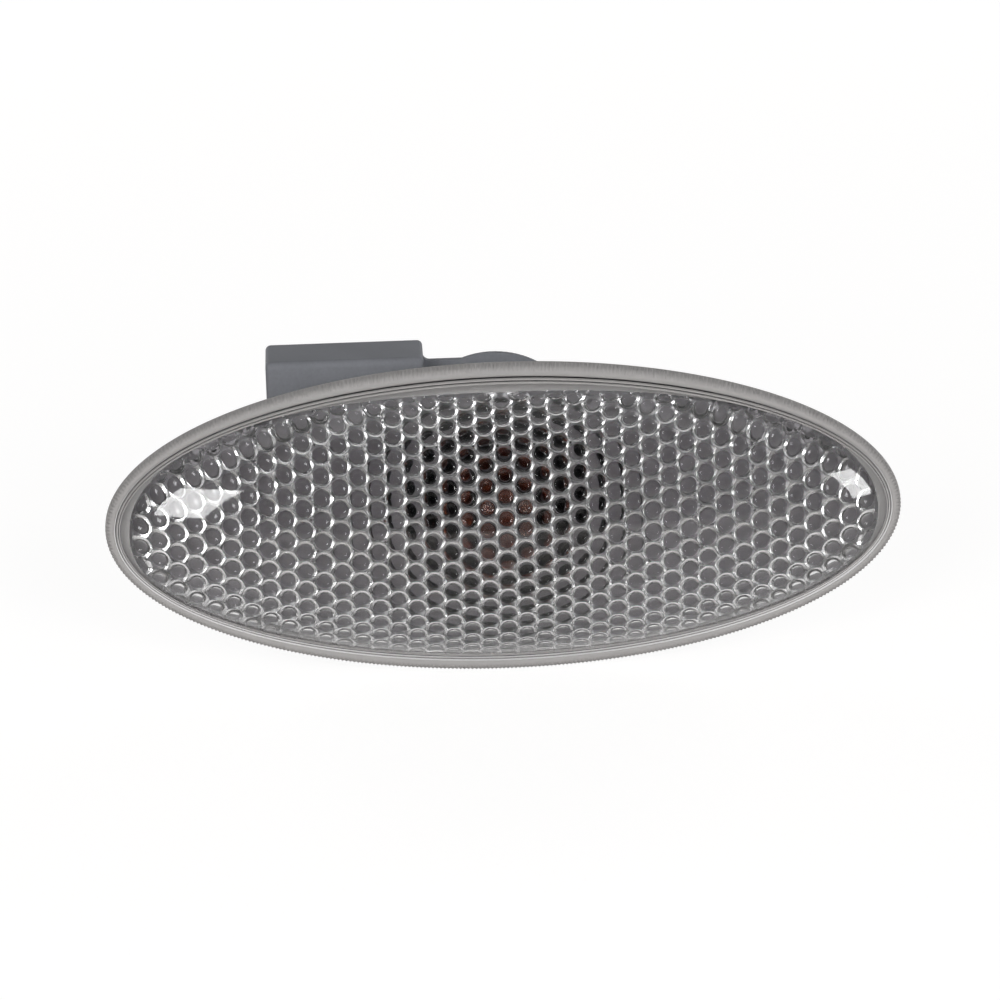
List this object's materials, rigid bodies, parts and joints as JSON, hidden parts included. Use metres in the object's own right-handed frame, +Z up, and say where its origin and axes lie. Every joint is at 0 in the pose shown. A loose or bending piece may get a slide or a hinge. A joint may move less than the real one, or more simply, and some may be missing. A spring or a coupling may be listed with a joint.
{
  "type": "side repeater lamp",
  "caption": "Oval side repeater lamp for a car wing: clear domed lens with honeycomb pillow cells, grey housing, amber wedge bulb and a twist-out bulb holder with a wiring socket.",
  "frame": {"origin": "on the axis of the bulb, in the plane of the body panel's outer face where the gasket seats", "axes": "+X along the lamp to the right as seen from outside the car, +Y into the car along the bulb axis, +Z up"},
  "size_m": [0.1, 0.0488, 0.0402],
  "materials": {
    "clear_plastic": "clear polished acrylic",
    "grey_plastic": "fine moulded texture",
    "dark_bowl": "dark glossy plastic",
    "foam_rubber": "closed cell foam",
    "spring_steel": "rolled strip",
    "amber_glass": "amber coated glass",
    "tungsten": "drawn wire",
    "lead_wire": "drawn wire",
    "contact_brass": "stamped strip",
    "holder_plastic": "moulded",
    "seal_rubber": "smooth rubber"
  },
  "bodies": {
    "lamp": {"lens": "clear_plastic", "housing": "grey_plastic", "reflector": "dark_bowl", "panel_gasket": "foam_rubber", "spring_clip": "spring_steel"},
    "holder": {"bulb_holder": "holder_plastic", "holder_seal": "seal_rubber", "upper_contact": "contact_brass", "lower_contact": "contact_brass", "bulb": "amber_glass", "bulb_filament": "tungsten", "bulb_leads": "lead_wire"}
  },
  "joints": [
    {"name": "holder_twist", "type": "hinge", "parent": "lamp", "child": "holder", "pos_m": [0, 0.012, 0], "axis": [0, 1, 0], "range_deg": [0, 40]}
  ]
}
